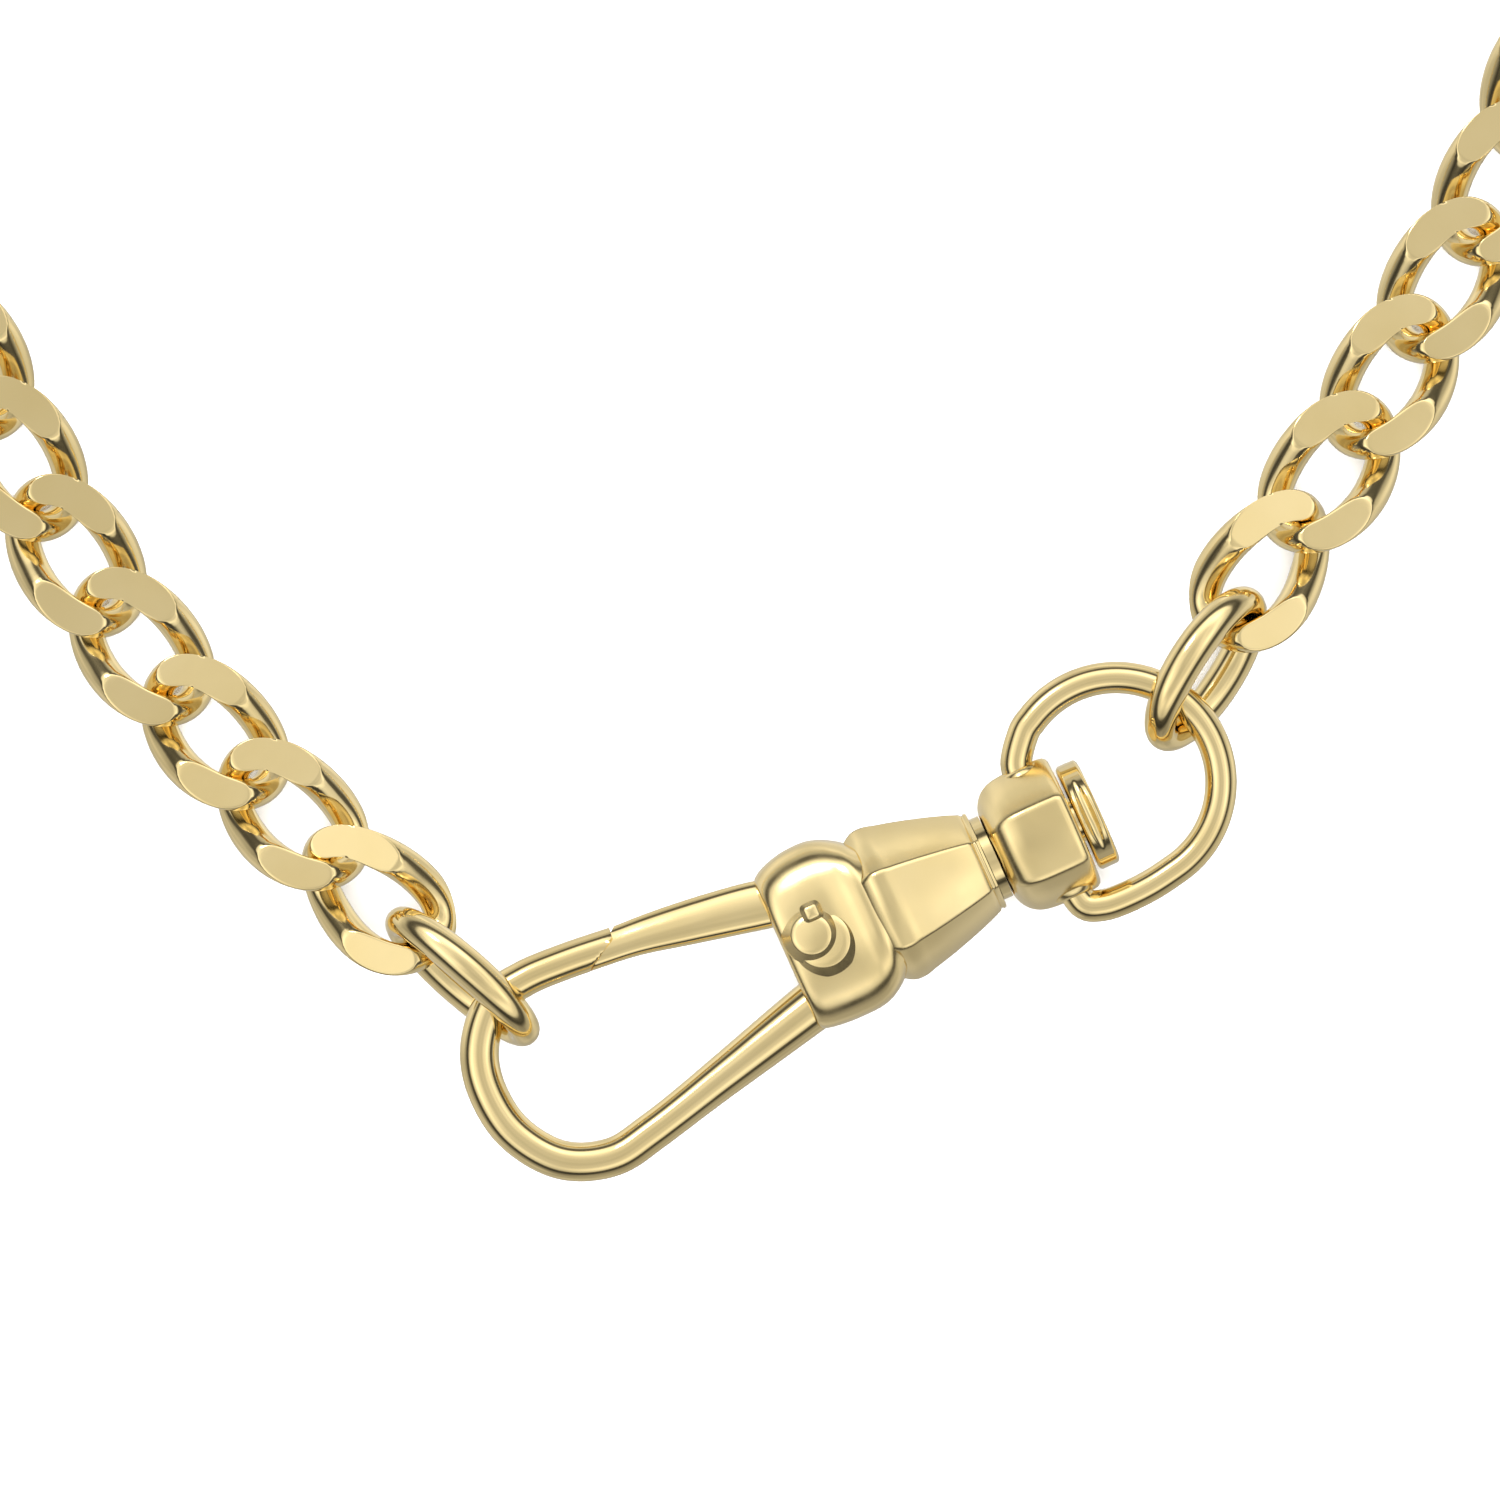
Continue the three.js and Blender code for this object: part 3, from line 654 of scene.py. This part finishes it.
def tent():
    """A soft tent round the table: pale overhead, bright higher walls, dark low walls.

    The brightness is a ramp over the height of the direction. It is multiplied by a factor that
    rises from the walls towards -Y to those towards +Y, and by a slow cloud of patches."""
    world = bpy.data.worlds.new("tent")
    bpy.context.scene.world = world
    world.use_nodes = True
    nodes, links = world.node_tree.nodes, world.node_tree.links
    background = nodes["Background"]
    way = nodes.new("ShaderNodeTexCoord").outputs["Generated"]
    split = nodes.new("ShaderNodeSeparateXYZ")
    links.new(way, split.inputs["Vector"])

    height = spread(nodes, links, split.outputs["Z"], (-1, 1), (0, 1))
    ramp = nodes.new("ShaderNodeValToRGB")
    ramp.color_ramp.interpolation = "EASE"
    stops = [(0.0, 0.5), (0.25, 0.72), (0.42, 0.7), (0.54, 0.42), (0.64, 0.06), (0.71, 0.1),
             (0.77, 0.85), (0.86, 1.3), (0.95, 0.92), (1.0, 0.76)]
    elements = ramp.color_ramp.elements
    for i, (position, level) in enumerate(stops):
        element = elements[i] if i < 2 else elements.new(position)
        element.position = position
        element.color = (level, level, level, 1)
    links.new(height, ramp.inputs["Fac"])
    links.new(ramp.outputs["Color"], background.inputs["Color"])

    side = spread(nodes, links, split.outputs["Y"], (-0.9, 0.9), (0.68, 1.28))
    patches = cloud(nodes, links, way, 1.6, 1)
    uneven = spread(nodes, links, patches, (0.35, 0.65), (0.84, 1.3))
    product = nodes.new("ShaderNodeMath")
    product.operation = "MULTIPLY"
    links.new(side, product.inputs[0])
    links.new(uneven, product.inputs[1])
    links.new(product.outputs["Value"], background.inputs["Strength"])


def studio():
    """The tent, a wide box overhead that reflections leave out, and a small bright one."""
    tent()
    soft_light("overhead", (0, 0, 0.8), 1.2, 24, in_reflections=False)
    soft_light("window", (-0.25, 0.3, 0.45), 0.12, 0.4)


def camera():
    """Straight down over the clasp, from far off, so that the view is nearly parallel.

    The distance is the field times the lens over the sensor's width."""
    data = bpy.data.cameras.new("camera")
    data.lens = LENS
    data.sensor_width = SENSOR
    data.clip_start = 0.01
    data.clip_end = 10
    distance = FIELD * data.lens / data.sensor_width
    item = bpy.data.objects.new("camera", data)
    bpy.context.scene.collection.objects.link(item)
    centre = CLASP_MIDDLE * MM + np.array(VIEW_SHIFT)
    item.location = (centre[0], centre[1], distance + CLASP_MIDDLE[2] * MM)
    bpy.context.scene.camera = item


# ---------------------------------------------------------------- the chain

bpy.context.scene.view_settings.view_transform = "Standard"
camera()
place_clasp()
lay_links(["end_link"] + numbered("left"), -LINK_TWIST, END_LENGTH,
          near=CLASP_MIDDLE - 12 * CLASP_AXES[:, 0])
lay_links(["ring_link"] + numbered("right"), LINK_TWIST, RING_LENGTH,
          near=CLASP_MIDDLE + 15 * CLASP_AXES[:, 0])
paper_floor()
studio()
